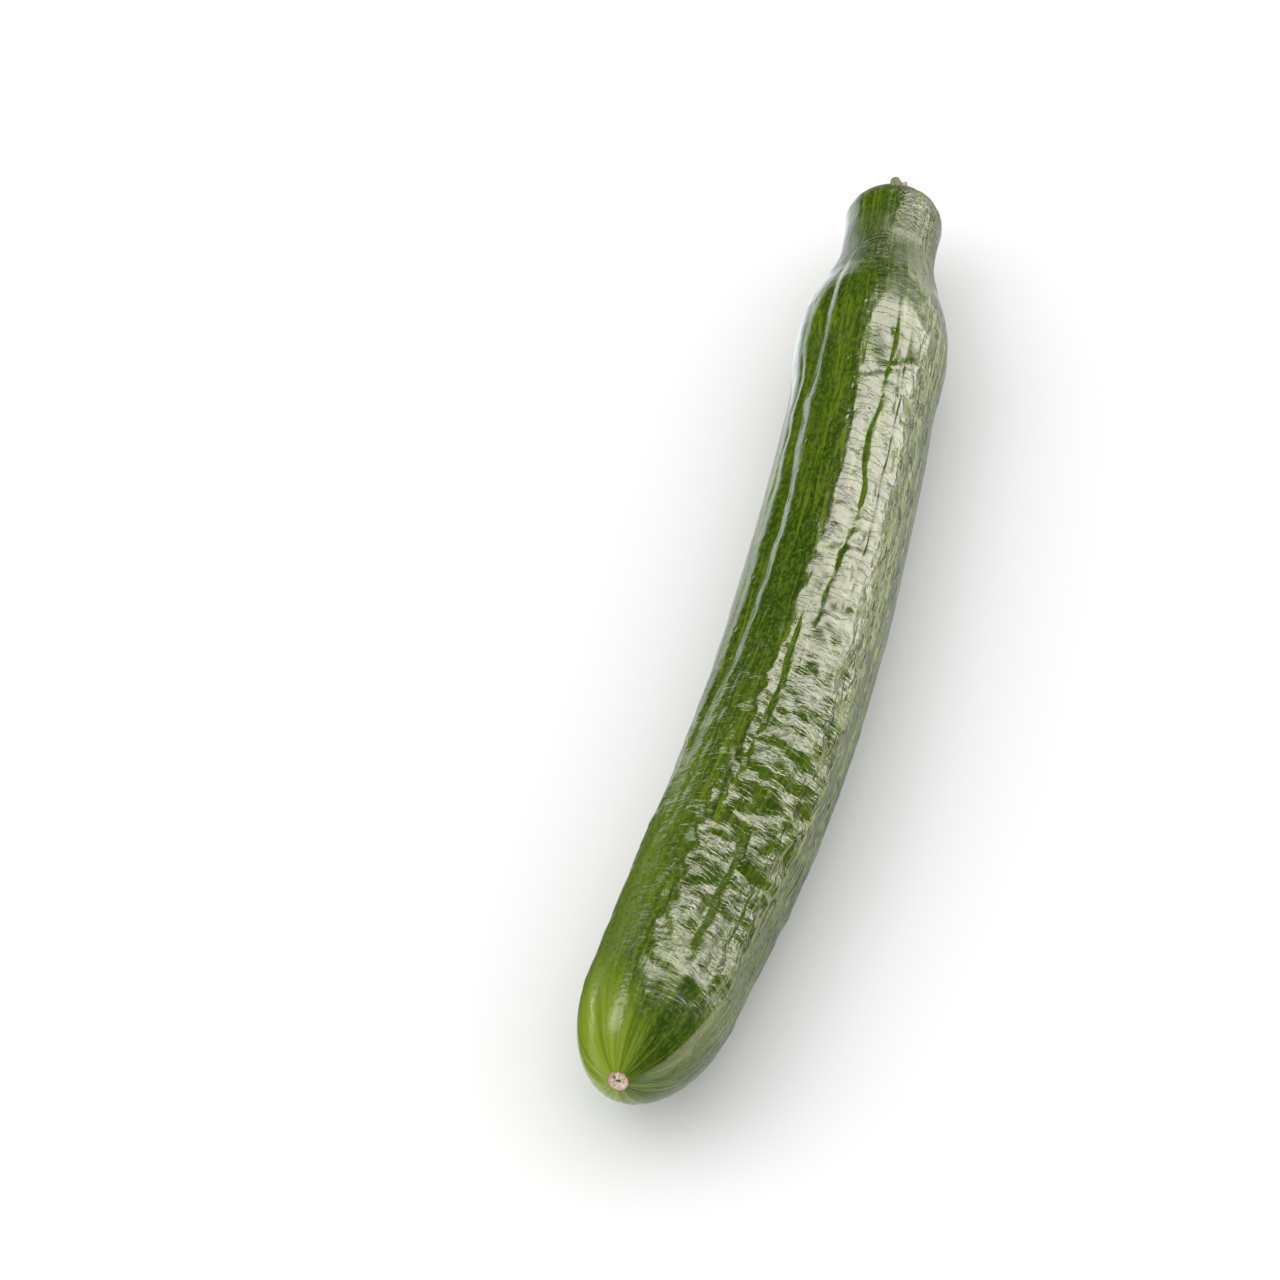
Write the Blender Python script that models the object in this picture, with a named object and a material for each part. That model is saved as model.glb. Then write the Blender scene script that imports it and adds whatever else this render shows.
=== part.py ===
"""A long slicing cucumber lying on its side, with the stub of its cut stalk.

Metres. +X runs from the blossom end to the stalk, +Z is up and the floor is z = 0.
Two solids: fruit (with its blossom scar) and stem.
"""

import math

import bmesh
import bpy
from mathutils import Vector

# ---- driving dimensions, in metres -------------------------------------------------------
LENGTH = 0.3465         # fruit alone, end to end
GIRTH_RADIUS = 0.0215   # at the shoulder, the thickest place
BEND = 0.0109           # how far the middle swings to -Y from the line between the ends
BLOSSOM_DOME = 0.036    # how far back the rounding of the blossom end reaches
STEM_CAP = 0.0100       # the same, for the blunter stalk end
NOSE_RISE = 0.0135      # the blossom tip turns up off the floor
NOSE_REACH = 0.070      # over this much of the length
REST_SINK = 0.0003      # flattening where the belly lies on the floor

SCAR_RADIUS = 0.0026    # corky scar where the flower was
SCAR_DEPTH = 0.0005
SEAT_RADIUS = 0.0045    # shallow seat that the stalk stands in
SEAT_DEPTH = 0.0010

STEM_LENGTH = 0.0114    # from the seat to the longest side of the cut
STEM_RADIUS = 0.0028    # at the cut
STEM_FOOT = 0.0037      # at the seat
STEM_RIBS = 5
STEM_RIB_HEIGHT = 0.0004
STEM_CUT = 0.0040       # the cut slants back by this much towards -Y
STEM_TILT = 6.0         # degrees upwards
CLEARANCE = 0.0003      # between the two solids

# Shares of LENGTH from the blossom end against shares of GIRTH_RADIUS. The last rounding
# towards either end comes from BLOSSOM_DOME and STEM_CAP.
GIRTH = (
    (0.00, 0.83), (0.13, 0.90), (0.21, 0.945), (0.32, 0.972), (0.49, 0.974), (0.68, 0.950),
    (0.745, 0.946), (0.80, 1.00), (0.84, 0.94), (0.88, 0.765), (0.925, 0.63), (1.00, 0.68),
)
# Shares of LENGTH against shares of BEND.
SWING = ((0.00, 0.0), (0.15, 0.33), (0.30, 0.80), (0.47, 0.99), (0.70, 0.76), (1.00, 0.0))
SHOULDER = 0.80         # beyond this share the neck no longer touches the floor

AROUND = 40             # points round the fruit
ALONG = 56              # rings along its belly
CAP_RINGS = 10          # rings in the rounding of each end
STEM_AROUND = 30
STEM_ALONG = 6


# ---- curves --------------------------------------------------------------------------------
def along(table, t):
    """A smooth curve through a table of (t, value)."""
    def slope(i):
        a, b = table[max(i - 1, 0)], table[min(i + 1, len(table) - 1)]
        return (b[1] - a[1]) / (b[0] - a[0])

    t = min(max(t, table[0][0]), table[-1][0])
    i = max(k for k in range(len(table) - 1) if table[k][0] <= t)
    (t0, v0), (t1, v1) = table[i], table[i + 1]
    span = t1 - t0
    u = (t - t0) / span
    rise, turn = 3 * u * u - 2 * u**3, u * (1 - u)
    return v0 + (v1 - v0) * rise + span * turn * ((1 - u) * slope(i) - u * slope(i + 1))


def radius(s):
    """The fruit's radius without the rounding of its ends, at s metres from the blossom tip."""
    return GIRTH_RADIUS * along(GIRTH, s / LENGTH)


def centre(s):
    """The point on the fruit's centre line at s metres from the blossom tip."""
    nose = max(0.0, 1 - s / NOSE_REACH)
    height = radius(min(s, SHOULDER * LENGTH)) - REST_SINK + NOSE_RISE * nose * nose
    return Vector((s, -BEND * along(SWING, s / LENGTH), height))


def frame_at(s):
    """(centre, forward, sideways, upwards) of the cross-section at s."""
    step = LENGTH / 500
    low, high = min(max(s - step, 0.0), LENGTH - 2 * step), max(min(s + step, LENGTH), 2 * step)
    forward = (centre(high) - centre(low)).normalized()
    sideways = Vector((0, 0, 1)).cross(forward).normalized()
    middle = centre(min(max(s, 0.0), LENGTH)) + forward * (s - min(max(s, 0.0), LENGTH))
    return middle, forward, sideways, forward.cross(sideways)


# ---- building meshes -----------------------------------------------------------------------
def ring(bm, frame, reach, count, forward_shift=None):
    """Vertices round a frame; reach and forward_shift take an angle and give metres."""
    middle, forward, sideways, upwards = frame
    verts = []
    for k in range(count):
        angle = 2 * math.pi * (k + 0.5) / count
        out = sideways * math.cos(angle) + upwards * math.sin(angle)
        shift = forward_shift(angle) if forward_shift else 0.0
        verts.append(bm.verts.new(middle + out * reach(angle) + forward * shift))
    return verts


def skin(bm, first, rings, last):
    """Closes a row of rings between a point at each end."""
    count = len(rings[0])
    for k in range(count):
        n = (k + 1) % count
        bm.faces.new((first, rings[0][n], rings[0][k]))
        bm.faces.new((last, rings[-1][k], rings[-1][n]))
        for a, b in zip(rings, rings[1:]):
            bm.faces.new((a[k], a[n], b[n], b[k]))


def add_object(name, bm, colour, roughness):
    bmesh.ops.recalc_face_normals(bm, faces=bm.faces)
    mesh = bpy.data.meshes.new(name)
    bm.to_mesh(mesh)
    bm.free()
    mesh.shade_smooth()
    material = bpy.data.materials.new(name)
    material.use_nodes = True
    shader = material.node_tree.nodes["Principled BSDF"]
    shader.inputs["Base Color"].default_value = (*colour, 1.0)
    shader.inputs["Roughness"].default_value = roughness
    mesh.materials.append(material)
    obj = bpy.data.objects.new(name, mesh)
    bpy.context.scene.collection.objects.link(obj)
    return obj


# ---- fruit ---------------------------------------------------------------------------------
def profile():
    """(s, radius) from the blossom scar to the seat of the stalk, the two poles left out."""
    points = []
    for k in range(1, 4):  # the scar's dished floor and its rim
        share = k / 3
        points.append((SCAR_DEPTH * (1 - share**4) + blossom_s(SCAR_RADIUS), SCAR_RADIUS * share))
    turn0 = math.acos(1 - blossom_s(SCAR_RADIUS) / BLOSSOM_DOME)
    for k in range(1, CAP_RINGS + 1):
        turn = turn0 + (math.pi / 2 - turn0) * k / CAP_RINGS
        s = BLOSSOM_DOME * (1 - math.cos(turn))
        points.append((s, radius(s) * math.sin(turn)))
    for k in range(1, ALONG):
        s = BLOSSOM_DOME + (LENGTH - BLOSSOM_DOME - STEM_CAP) * k / ALONG
        points.append((s, radius(s)))
    rim = math.asin(SEAT_RADIUS * 1.35 / radius(LENGTH))
    for k in range(CAP_RINGS + 1):
        turn = math.pi / 2 + (rim - math.pi / 2) * k / CAP_RINGS
        s = LENGTH - STEM_CAP * (1 - math.cos(turn))
        points.append((s, radius(s) * math.sin(turn)))
    floor = LENGTH - SEAT_DEPTH
    points.append((floor + SEAT_DEPTH * 0.35, SEAT_RADIUS * 1.12))
    points.append((floor, SEAT_RADIUS))
    points.append((floor, SEAT_RADIUS * 0.5))
    return points


def blossom_s(r):
    """Where the blossom end's dome has the radius r."""
    return BLOSSOM_DOME * (1 - math.sqrt(1 - (r / radius(0.0)) ** 2))


def make_fruit():
    bm = bmesh.new()
    tip = bm.verts.new(frame_at(0.0)[0] + frame_at(0.0)[1] * (SCAR_DEPTH + blossom_s(SCAR_RADIUS)))
    rings = [ring(bm, frame_at(s), lambda angle, r=r: r, AROUND) for s, r in profile()]
    seat = bm.verts.new(frame_at(LENGTH - SEAT_DEPTH)[0])
    skin(bm, tip, rings, seat)
    for vert in bm.verts:  # the floor flattens the belly
        vert.co.z = max(vert.co.z, 0.0)
    return add_object("fruit", bm, (0.055, 0.130, 0.016), 0.33)


# ---- stem ----------------------------------------------------------------------------------
def make_stem():
    """A ribbed stub, wider at its foot, with a slanting cut and a rounded rim."""
    middle, forward, sideways, upwards = frame_at(LENGTH - SEAT_DEPTH)
    base = middle + forward * CLEARANCE
    lean = math.tan(math.radians(STEM_TILT))
    bm = bmesh.new()
    rings = []
    for k in range(STEM_ALONG + 1):
        t = k / STEM_ALONG
        size = STEM_RADIUS + (STEM_FOOT - STEM_RADIUS) * (1 - t) ** 2
        if k == STEM_ALONG:
            size -= 0.0004

        def reach(angle, size=size):
            return size - STEM_RIB_HEIGHT * (1 - math.cos(STEM_RIBS * angle)) / 2

        def slant(angle, t=t):
            return -STEM_CUT * t * (1 - math.cos(angle - 0.25)) / 2

        at = base + forward * (STEM_LENGTH * t) + upwards * (STEM_LENGTH * t * lean)
        rings.append(ring(bm, (at, forward, sideways, upwards), reach, STEM_AROUND, slant))
    foot = bm.verts.new(base)
    cut = bm.verts.new(sum((v.co for v in rings[-1]), Vector()) / STEM_AROUND)
    skin(bm, foot, rings, cut)
    return add_object("stem", bm, (0.24, 0.25, 0.07), 0.7)


# ---- scene ---------------------------------------------------------------------------------
def centre_on_origin(objects):
    """Moves the meshes so that the box round them is centred on the origin in X and Y."""
    corners = [vert.co for obj in objects for vert in obj.data.vertices]
    middle = Vector([(min(c[i] for c in corners) + max(c[i] for c in corners)) / 2 for i in (0, 1)])
    for obj in objects:
        for vert in obj.data.vertices:
            vert.co.x -= middle.x
            vert.co.y -= middle.y
    print("origin moved by", tuple(round(v * 1000, 3) for v in middle), "mm")


def main():
    for obj in list(bpy.data.objects):
        bpy.data.objects.remove(obj)
    centre_on_origin([make_fruit(), make_stem()])


main()
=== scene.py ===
"""A long slicing cucumber with its scar and stalk stub, on a pale floor under soft studio light."""

import math

import bmesh
import bpy
from bpy.props import FloatProperty, FloatVectorProperty, PointerProperty
from mathutils import Matrix, Vector, noise


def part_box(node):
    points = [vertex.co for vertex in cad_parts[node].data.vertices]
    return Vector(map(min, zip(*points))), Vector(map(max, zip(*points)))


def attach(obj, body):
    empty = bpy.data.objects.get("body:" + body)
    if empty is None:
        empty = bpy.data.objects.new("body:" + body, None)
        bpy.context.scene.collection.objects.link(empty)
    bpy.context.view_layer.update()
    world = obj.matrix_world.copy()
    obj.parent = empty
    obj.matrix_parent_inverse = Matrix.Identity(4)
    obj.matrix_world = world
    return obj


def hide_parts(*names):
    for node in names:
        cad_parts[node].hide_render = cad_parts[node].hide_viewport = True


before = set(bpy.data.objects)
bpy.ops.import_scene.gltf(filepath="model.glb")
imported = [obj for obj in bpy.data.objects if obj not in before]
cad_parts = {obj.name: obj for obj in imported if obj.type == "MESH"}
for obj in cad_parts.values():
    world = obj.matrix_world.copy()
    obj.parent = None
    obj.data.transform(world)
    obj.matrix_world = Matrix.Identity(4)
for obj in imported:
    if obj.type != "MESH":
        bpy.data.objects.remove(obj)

bl_info = {
    "name": "Long cucumber",
    "version": (1, 0, 0),
    "blender": (4, 5, 0),
    "location": "3D View > Sidebar > Cucumber",
    "description": "Builds the visible pieces of a long slicing cucumber round its packed frame",
    "category": "Object",
}

MM = 0.001

# ---- the fruit's overall form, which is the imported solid's own ------------------------------
LENGTH = 0.3465
GIRTH_RADIUS = 0.0215
BEND = 0.0109
BLOSSOM_DOME = 0.036
STEM_CAP = 0.0100
NOSE_RISE = 0.0135
NOSE_REACH = 0.070
REST_SINK = 0.0003
SCAR_RADIUS = 0.0026
SCAR_DEPTH = 0.0005
SEAT_RADIUS = 0.0045
SEAT_DEPTH = 0.0010
STEM_LENGTH = 0.0114
STEM_RADIUS = 0.0028
STEM_FOOT = 0.0037
STEM_TILT = math.radians(6.0)
CLEARANCE = 0.0003
GIRTH = (
    (0.00, 0.83), (0.13, 0.90), (0.21, 0.945), (0.32, 0.972), (0.49, 0.974), (0.68, 0.950),
    (0.745, 0.946), (0.80, 1.00), (0.84, 0.94), (0.88, 0.765), (0.925, 0.63), (1.00, 0.68),
)
SWING = ((0.00, 0.0), (0.15, 0.33), (0.30, 0.80), (0.47, 0.99), (0.70, 0.76), (1.00, 0.0))
SHOULDER = 0.80         # beyond this share the neck is clear of the floor
NECK_START = 0.86
FINE_RINGS = (56, 236, 72)  # rings in the blossom dome, the belly and the neck
FORM_RINGS = (8, 60, 12)    # the same, for measuring the form's box
FORM_COLUMNS = 40

# ---- the rind's relief ----------------------------------------------------------------------
RIBS = 25               # broad flat ribs round the fruit, with shallow furrows between them
FIRST_FURROW = math.radians(6.1)
# Columns of points across one rib, closer together where the furrow turns.
RIB_COLUMNS = (0.0, 0.06, 0.13, 0.22, 0.35, 0.50, 0.65, 0.78, 0.87, 0.94)
FURROW_WIDTH = 0.18     # of a rib, except for those in FURROW_WIDTHS
FURROW_LINE = 0.13      # half width of the coloured line along a furrow, of a rib
TOP = math.radians(90.0)
# The ribs are broader on the upper right of the blossom half: how far they are pushed apart.
RIB_SPREAD = ((0.00, 0.20), (0.30, 0.20), (0.45, 0.0), (1.00, 0.0))
# Shares of LENGTH against strength.
FURROW_ALONG = (
    (0.00, 0.12), (0.05, 0.20), (0.09, 0.80), (0.25, 1.0), (0.40, 1.0), (0.60, 1.0),
    (0.82, 1.0), (0.88, 0.5), (0.97, 0.3), (1.00, 0.2),
)
# Furrows that have their own strength along the fruit; the rest vary at random.
OWN_FURROWS = {
    1: ((0.00, 0.0), (0.30, 0.1), (0.90, 0.1), (1.00, 0.1)),
    2: ((0.00, 0.0), (0.28, 0.2), (0.36, 0.5), (0.75, 0.5), (0.88, 0.3), (1.00, 0.1)),
    3: ((0.00, 0.0), (0.25, 0.5), (0.34, 1.4), (0.50, 1.7), (0.80, 1.6), (0.88, 0.4), (1.00, 0.1)),
    4: ((0.00, 0.1), (0.22, 0.4), (0.55, 0.4), (0.70, 0.2), (1.00, 0.1)),
    5: ((0.00, 0.1), (1.00, 0.1)),
    6: ((0.00, 0.1), (0.24, 0.2), (0.32, 1.2), (0.40, 1.2), (0.46, 0.1), (1.00, 0.05)),
    7: ((0.00, 0.3), (0.06, 1.2), (0.12, 2.3), (0.26, 1.9), (0.36, 0.8), (0.44, 1.0), (0.50, 1.8),
        (0.55, 1.1), (0.60, 2.0), (0.66, 1.9), (0.71, 1.2), (0.75, 1.9), (0.79, 1.4), (0.83, 0.7),
        (1.00, 0.2)),
    8: ((0.00, 0.2), (0.08, 0.8), (0.13, 1.8), (0.18, 1.5), (0.24, 0.5), (0.34, 0.3), (0.42, 1.0),
        (0.75, 0.9), (0.82, 0.4), (1.00, 0.2)),
    9: ((0.00, 0.2), (0.10, 0.5), (0.42, 0.3), (0.50, 0.0), (0.80, 0.0), (1.00, 0.0)),
    10: ((0.00, 0.1), (0.40, 0.1), (0.48, 0.3), (0.80, 0.3), (1.00, 0.1)),
}
# Widths of the left and right walls of some of them, as shares of a rib.
FURROW_WIDTHS = {3: (0.30, 0.32), 7: (0.60, 0.24), 8: (0.30, 0.15)}
# Degrees by which some of them bow aside.
OWN_PATHS = {
    3: ((0.00, 0.0), (0.30, 2.0), (0.50, 2.0), (0.61, -1.0), (0.71, -6.0), (0.82, 4.0),
        (1.00, 0.0)),
    7: ((0.00, 0.0), (0.50, -2.0), (0.57, 5.0), (0.65, -1.0), (0.74, 4.0), (1.00, 0.0)),
    8: ((0.00, 4.0), (0.20, 4.0), (0.45, 1.0), (0.60, 2.5), (0.80, 3.0), (1.00, 0.0)),
}
LUMPS_ALONG = (
    (0.00, 0.0), (0.055, 0.05), (0.09, 0.70), (0.13, 0.90), (0.17, 1.10), (0.21, 1.40),
    (0.32, 1.35), (0.40, 0.80), (0.50, 0.34), (0.80, 0.26), (0.88, 0.15), (0.93, 0.12),
    (0.96, 0.30), (1.00, 0.20),
)
# Blunt lengthwise corners of the cross-section: degrees right of the top, half width in
# degrees, then shares of LENGTH against height in millimetres.
CORNERS = (
    (-16.0, 10.0, ((0.00, 0.0), (0.05, 0.3), (0.08, 0.6), (0.20, 0.5), (0.27, 0.1), (1.00, 0.0))),
    (60.0, 12.0, ((0.00, 0.1), (0.07, 0.7), (0.33, 0.8), (0.43, 0.1), (1.00, 0.0))),
    (-58.0, 12.0, ((0.00, 0.0), (0.28, 0.1), (0.38, 0.6), (0.84, 0.6), (0.92, 0.1), (1.00, 0.0))),
)
# Dents: share of LENGTH, degrees right of the top, half length and half width in mm, and depth
# in mm, which is below zero for a swelling.
DENTS = (
    (0.740, 15.0, 1.8, 3.0, 0.52), (0.731, 6.0, 1.8, 2.0, 0.40), (0.560, 14.0, 5.0, 1.5, 0.40),
    (0.747, 26.0, 1.8, 3.4, 0.48), (0.756, 37.0, 1.5, 2.4, 0.36), (0.728, 24.0, 1.5, 1.5, 0.25),
    (0.535, 28.0, 1.2, 4.0, 0.34), (0.600, 21.0, 7.0, 1.4, 0.40), (0.520, 10.0, 1.4, 3.0, 0.38),
    (0.545, 8.0, 1.3, 1.8, 0.38), (0.553, 22.0, 1.4, 2.4, 0.40), (0.570, 26.0, 1.3, 2.2, 0.36),
    (0.528, 18.0, 1.3, 2.2, 0.40), (0.578, 9.0, 1.3, 1.6, 0.34), (0.540, 14.0, 1.6, 1.2, 0.42),
    (0.668, 24.0, 5.0, 1.2, 0.30), (0.480, 20.0, 6.0, 1.4, 0.36), (0.255, 8.0, 4.0, 3.0, 0.40),
    (0.200, 45.0, 2.5, 3.0, 0.40), (0.300, 40.0, 4.0, 3.0, 0.40), (0.345, 24.0, 5.0, 2.5, 0.40),
    (0.140, 20.0, 16.0, 2.6, 1.10), (0.225, 21.0, 14.0, 2.6, 1.00), (0.390, 38.0, 3.0, 2.5, 0.36),
    (0.066, 44.0, 7.0, 9.0, 0.60), (0.130, 39.5, 14.0, 0.9, 0.40), (0.260, 26.0, 9.0, 5.0, 0.50),
    (0.585, 13.0, 3.0, 1.3, 0.40), (0.625, 27.0, 4.0, 1.2, 0.30), (0.700, 19.0, 5.0, 1.3, 0.36),
    (0.775, 20.0, 5.0, 1.5, 0.40), (0.500, 33.0, 3.0, 1.5, 0.30), (0.470, 9.0, 3.0, 1.5, 0.30),
    (0.640, 8.0, 1.2, 2.0, 0.16), (0.690, 42.0, 1.0, 2.0, 0.22), (0.720, 40.0, 1.0, 2.0, 0.22),
    (0.922, 30.0, 7.0, 9.0, 0.70), (0.957, 30.0, 7.0, 9.0, -0.60), (0.196, 26.0, 22.0, 14.0, 2.00),
    (0.655, 41.0, 1.0, 2.0, 0.20), (0.760, 39.0, 1.2, 2.2, 0.24), (0.620, 43.0, 1.0, 2.0, 0.22),
    (0.420, 48.0, 4.0, 1.8, 0.36), (0.440, 8.0, 3.0, 1.6, 0.30), (0.120, 38.0, 4.0, 1.2, 0.30),
)
DENT_SLANT = 0.35       # how far the dents lean along the fruit as they go round it
# Fine folds across the neck: their spacing, and how they bow back at either side.
FOLD_SPACING = 0.0021
FOLD_BOW = 0.007
FOLD_MIDDLE = 6.0       # degrees to the left of the top
FOLD_REACH = 30.0       # degrees over which they bow back by FOLD_BOW
FOLD_TURN = -88.8       # turns metres to the left into a share of FOLD_REACH
FOLD_BUMP = 0.00022
CREASE_SLANT = (0, 0, 0.45)
SPECK_HEIGHT = 0.00010

# ---- the scar and the stalk -----------------------------------------------------------------
SCAR_FACE_RINGS = 20
SCAR_SKIRT_RINGS = 3    # that go down into the fruit
SCAR_UNDER_RINGS = 3
# Dark pits in the scar: across, up, half width, half height and strength.
SCAR_PITS = ((0.0, -0.0001, 0.00075, 0.0003, 1.0), (0.0012, 0.0006, 0.0005, 0.0006, 0.8))
STALK_SHIFT = 0.0003    # of its foot, to the left
STALK_RIBS = 5
STALK_RIB_HEIGHT = 0.00028
STALK_GRAIN = 0.003     # radius at which its fibres are drawn
KNOB_PLACE = (-0.0021, 0.0010)  # of the dried knob on the cut: across and up
KNOB_SIZE = (0.0008, 0.0012)

# ---- the stage ------------------------------------------------------------------------------
# Reflected in the rind only: two corners at the near end of the dark card, then two at the far.
CARD_CORNERS = (
    ((-0.20, 0.035, 0.001), (-0.055, 0.035, 0.001)),
    ((0.02, 0.42, 0.001), (0.26, 0.36, 0.001)),
)
FLOOR_RADIUS = 6.0
KEY_SLOPE = (0, -0.663, 0.751)
KEY_TINT = (1.0, 0.95, 0.93)
LENS_ANGLE = math.radians(16.0)
CAMERA_PLACE = (-0.8495, -0.1574, 0.8707)
CAMERA_TURN = (math.radians(45.0), 0.0, math.radians(13.371 - 90.0))


def along(table, t):
    """A smooth curve through a table of (t, value)."""
    def slope(i):
        a, b = table[max(i - 1, 0)], table[min(i + 1, len(table) - 1)]
        return (b[1] - a[1]) / (b[0] - a[0])

    t = min(max(t, table[0][0]), table[-1][0])
    i = max(k for k in range(len(table) - 1) if table[k][0] <= t)
    (t0, v0), (t1, v1) = table[i], table[i + 1]
    span = t1 - t0
    u = (t - t0) / span
    rise, turn = 3 * u * u - 2 * u**3, u * (1 - u)
    return v0 + (v1 - v0) * rise + span * turn * ((1 - u) * slope(i) - u * slope(i + 1))


def smooth(low, high, x):
    """0 at low and 1 at high, with a smooth step between."""
    u = min(max((x - low) / (high - low), 0.0), 1.0)
    return u * u * (3 - 2 * u)


def radius(s):
    return GIRTH_RADIUS * along(GIRTH, s / LENGTH)


def centre(s):
    nose = max(0.0, 1 - s / NOSE_REACH)
    height = radius(min(s, SHOULDER * LENGTH)) - REST_SINK + NOSE_RISE * nose * nose
    return Vector((s, -BEND * along(SWING, s / LENGTH), height))


def frame_at(s):
    """(centre, forward, sideways, upwards) of the cross-section at s metres from the tip."""
    step = LENGTH / 500
    low, high = min(max(s - step, 0.0), LENGTH - 2 * step), max(min(s + step, LENGTH), 2 * step)
    forward = (centre(high) - centre(low)).normalized()
    sideways = Vector((0, 0, 1)).cross(forward).normalized()
    held = min(max(s, 0.0), LENGTH)
    return centre(held) + forward * (s - held), forward, sideways, forward.cross(sideways)


def blossom_s(r):
    """Where the blossom dome is r metres in radius."""
    return BLOSSOM_DOME * (1 - math.sqrt(1 - (r / radius(0.0)) ** 2))


def frame_offset():
    """From the form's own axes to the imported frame's: the two solids' boxes coincide."""
    low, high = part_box("fruit")
    xs, ys = [], []
    for s, r in fruit_profile(*FORM_RINGS):
        middle, forward, sideways, upwards = frame_at(s)
        for k in range(FORM_COLUMNS):
            angle = math.tau * (k + 0.5) / FORM_COLUMNS
            point = middle + r * (sideways * math.cos(angle) + upwards * math.sin(angle))
            xs.append(point.x)
            ys.append(point.y)
    aside = (low.x + high.x - min(xs) - max(xs)) / 2, (low.y + high.y - min(ys) - max(ys)) / 2
    return Vector((*aside, 0))


def fruit_profile(dome_rings, belly_rings, neck_rings):
    """(s, radius) from the scar to the stalk's seat, denser where the shape turns faster."""
    points = [(SCAR_DEPTH + blossom_s(SCAR_RADIUS), 0.0)]
    for k in range(1, 5):
        share = k / 4
        s = SCAR_DEPTH * (1 - share**4) + blossom_s(SCAR_RADIUS)
        points.append((s, SCAR_RADIUS * share))
    turn0 = math.acos(1 - blossom_s(SCAR_RADIUS) / BLOSSOM_DOME)
    for k in range(1, dome_rings + 1):
        turn = turn0 + (math.pi / 2 - turn0) * k / dome_rings
        s = BLOSSOM_DOME * (1 - math.cos(turn))
        points.append((s, radius(s) * math.sin(turn)))
    neck = NECK_START * LENGTH
    for k in range(1, belly_rings + 1):
        s = BLOSSOM_DOME + (neck - BLOSSOM_DOME) * k / belly_rings
        points.append((s, radius(s)))
    for k in range(1, neck_rings):
        s = neck + (LENGTH - STEM_CAP - neck) * k / neck_rings
        points.append((s, radius(s)))
    rim = math.asin(SEAT_RADIUS * 1.35 / radius(LENGTH))
    cap_rings = max(dome_rings // 3, 8)
    for k in range(cap_rings + 1):
        turn = math.pi / 2 + (rim - math.pi / 2) * k / cap_rings
        s = LENGTH - STEM_CAP * (1 - math.cos(turn))
        points.append((s, radius(s) * math.sin(turn)))
    floor = LENGTH - SEAT_DEPTH
    points += [(floor + SEAT_DEPTH * 0.35, SEAT_RADIUS * 1.12), (floor, SEAT_RADIUS),
               (floor, SEAT_RADIUS * 0.5), (floor, 0.0)]
    return points


# ---- meshes ---------------------------------------------------------------------------------
def spun_tube(rings, columns):
    """A tube of unit radius whose points stand at whole numbers of rings and columns."""
    bm = bmesh.new()
    verts = [bm.verts.new((j, 0.0, 1.0)) for j in range(rings)]
    edges = [bm.edges.new(pair) for pair in zip(verts, verts[1:])]
    bmesh.ops.spin(bm, geom=verts + edges, cent=(0, 0, 0), axis=(1, 0, 0), dvec=(0, 0, 0),
                   angle=math.tau, steps=columns, use_merge=True, space=Matrix.Identity(4))
    return bm


def ring_and_column(vert, columns):
    turn = math.atan2(vert.co.y, vert.co.z) / math.tau
    return round(vert.co.x), round(turn * columns) % columns


def as_object(bm, name, material):
    mesh = bpy.data.meshes.new(name)
    bm.to_mesh(mesh)
    bm.free()
    mesh.materials.append(material)
    piece = bpy.data.objects.new(name, mesh)
    bpy.context.scene.collection.objects.link(piece)
    return piece


def finish_piece(bm, name, material, doubles=1e-7):
    bmesh.ops.remove_doubles(bm, verts=bm.verts, dist=doubles)
    bmesh.ops.dissolve_degenerate(bm, edges=bm.edges, dist=doubles)
    bmesh.ops.recalc_face_normals(bm, faces=bm.faces)
    piece = as_object(bm, name, material)
    piece.data.shade_smooth()
    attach(piece, "root")
    return piece


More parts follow.
